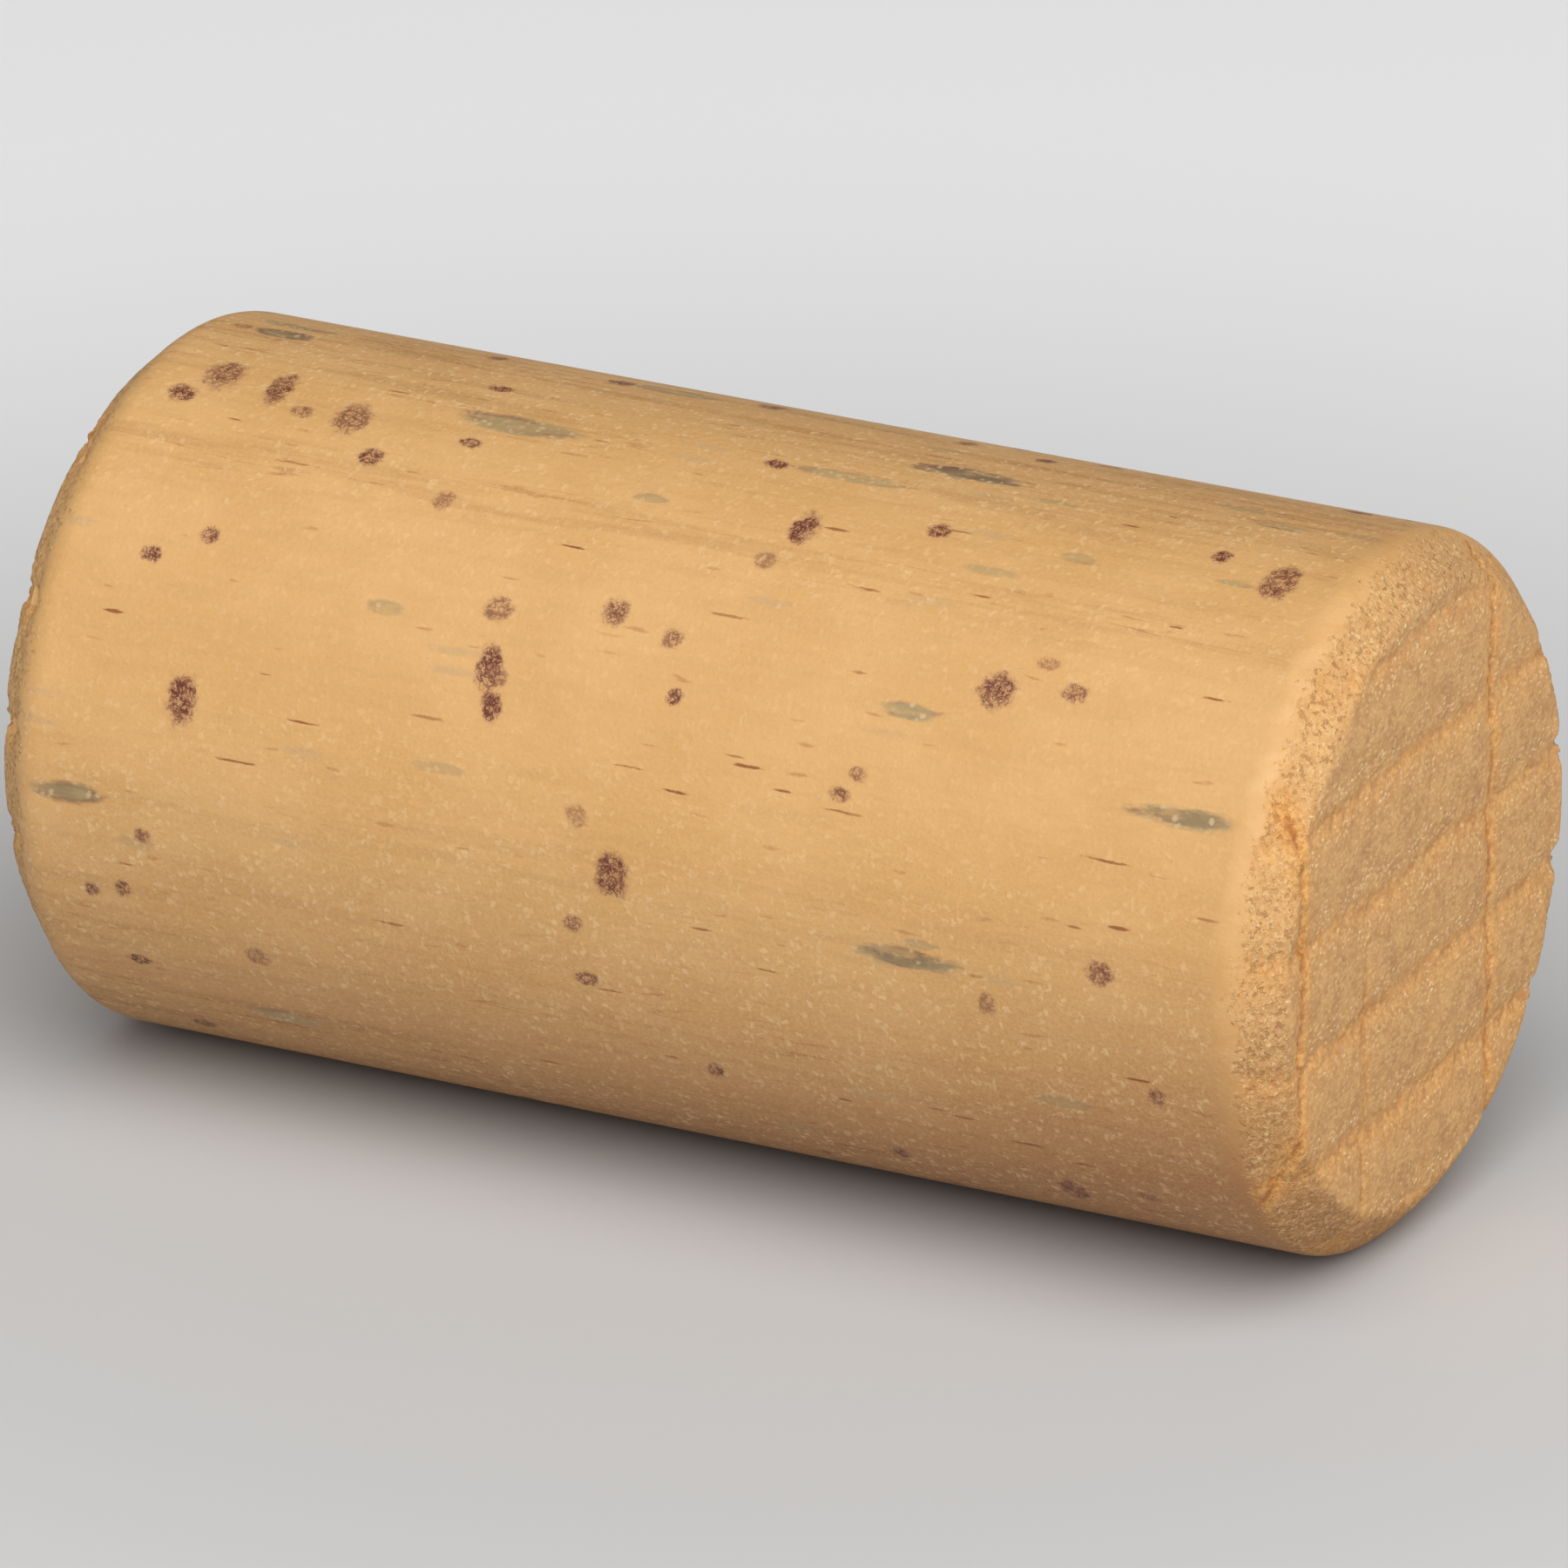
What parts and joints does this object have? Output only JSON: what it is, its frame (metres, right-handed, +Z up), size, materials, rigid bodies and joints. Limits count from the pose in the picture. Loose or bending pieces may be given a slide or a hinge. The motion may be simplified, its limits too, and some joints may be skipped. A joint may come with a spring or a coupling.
{
  "type": "synthetic bottle cork",
  "caption": "Cylindrical foam bottle closure with a thin outer skin, bevelled rims and a grid of shallow creases across both flat ends, lying on its side.",
  "frame": {"origin": "under the middle of the cork, on the surface that it lies on", "axes": "+X along the cork's axis, +Z up, +Y completes the right-handed frame"},
  "size_m": [0.043, 0.022, 0.022],
  "materials": {
    "foam": "cut closed-cell foam, tan, slightly glittery",
    "skin": "soft satin foam skin printed with a cork pattern"
  },
  "bodies": {
    "root": {"foam_core": "foam", "outer_skin": "skin"}
  },
  "joints": []
}
